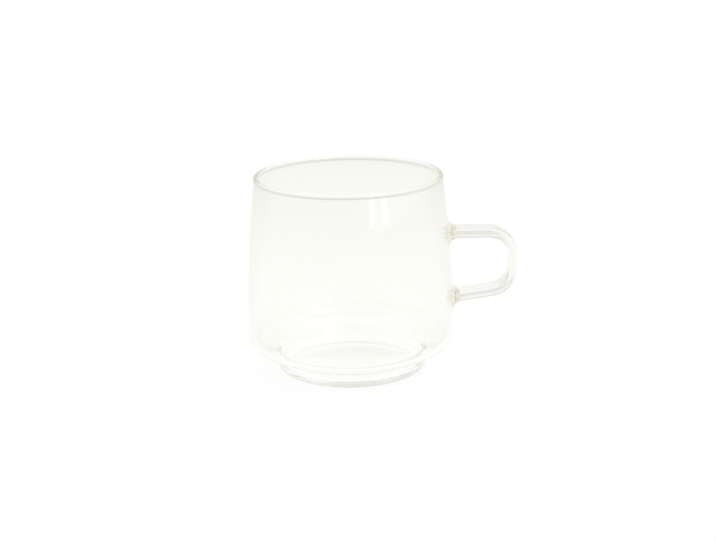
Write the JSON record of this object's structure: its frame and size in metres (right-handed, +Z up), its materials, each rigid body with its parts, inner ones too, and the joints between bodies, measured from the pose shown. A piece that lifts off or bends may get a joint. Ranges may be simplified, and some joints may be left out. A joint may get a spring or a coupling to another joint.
{
  "type": "latte glass",
  "caption": "Clear blown-glass latte mug: slightly barrelled bowl with a rounded rim, sloping shoulder and short narrow foot, and a flat glass strap handle welded to its side.",
  "frame": {"origin": "middle of the foot, on the surface that the glass stands on", "axes": "+Z up along the bowl's axis, +X towards the handle"},
  "size_m": [0.1206, 0.092, 0.089],
  "materials": {
    "bowl_glass": "clear blown borosilicate, fire-polished",
    "handle_glass": "clear drawn borosilicate, flame-bent",
    "weld_glass": "clear flame-welded borosilicate"
  },
  "bodies": {
    "root": {"bowl": "bowl_glass", "handle": "handle_glass", "upper_weld": "weld_glass", "lower_weld": "weld_glass"}
  },
  "joints": []
}
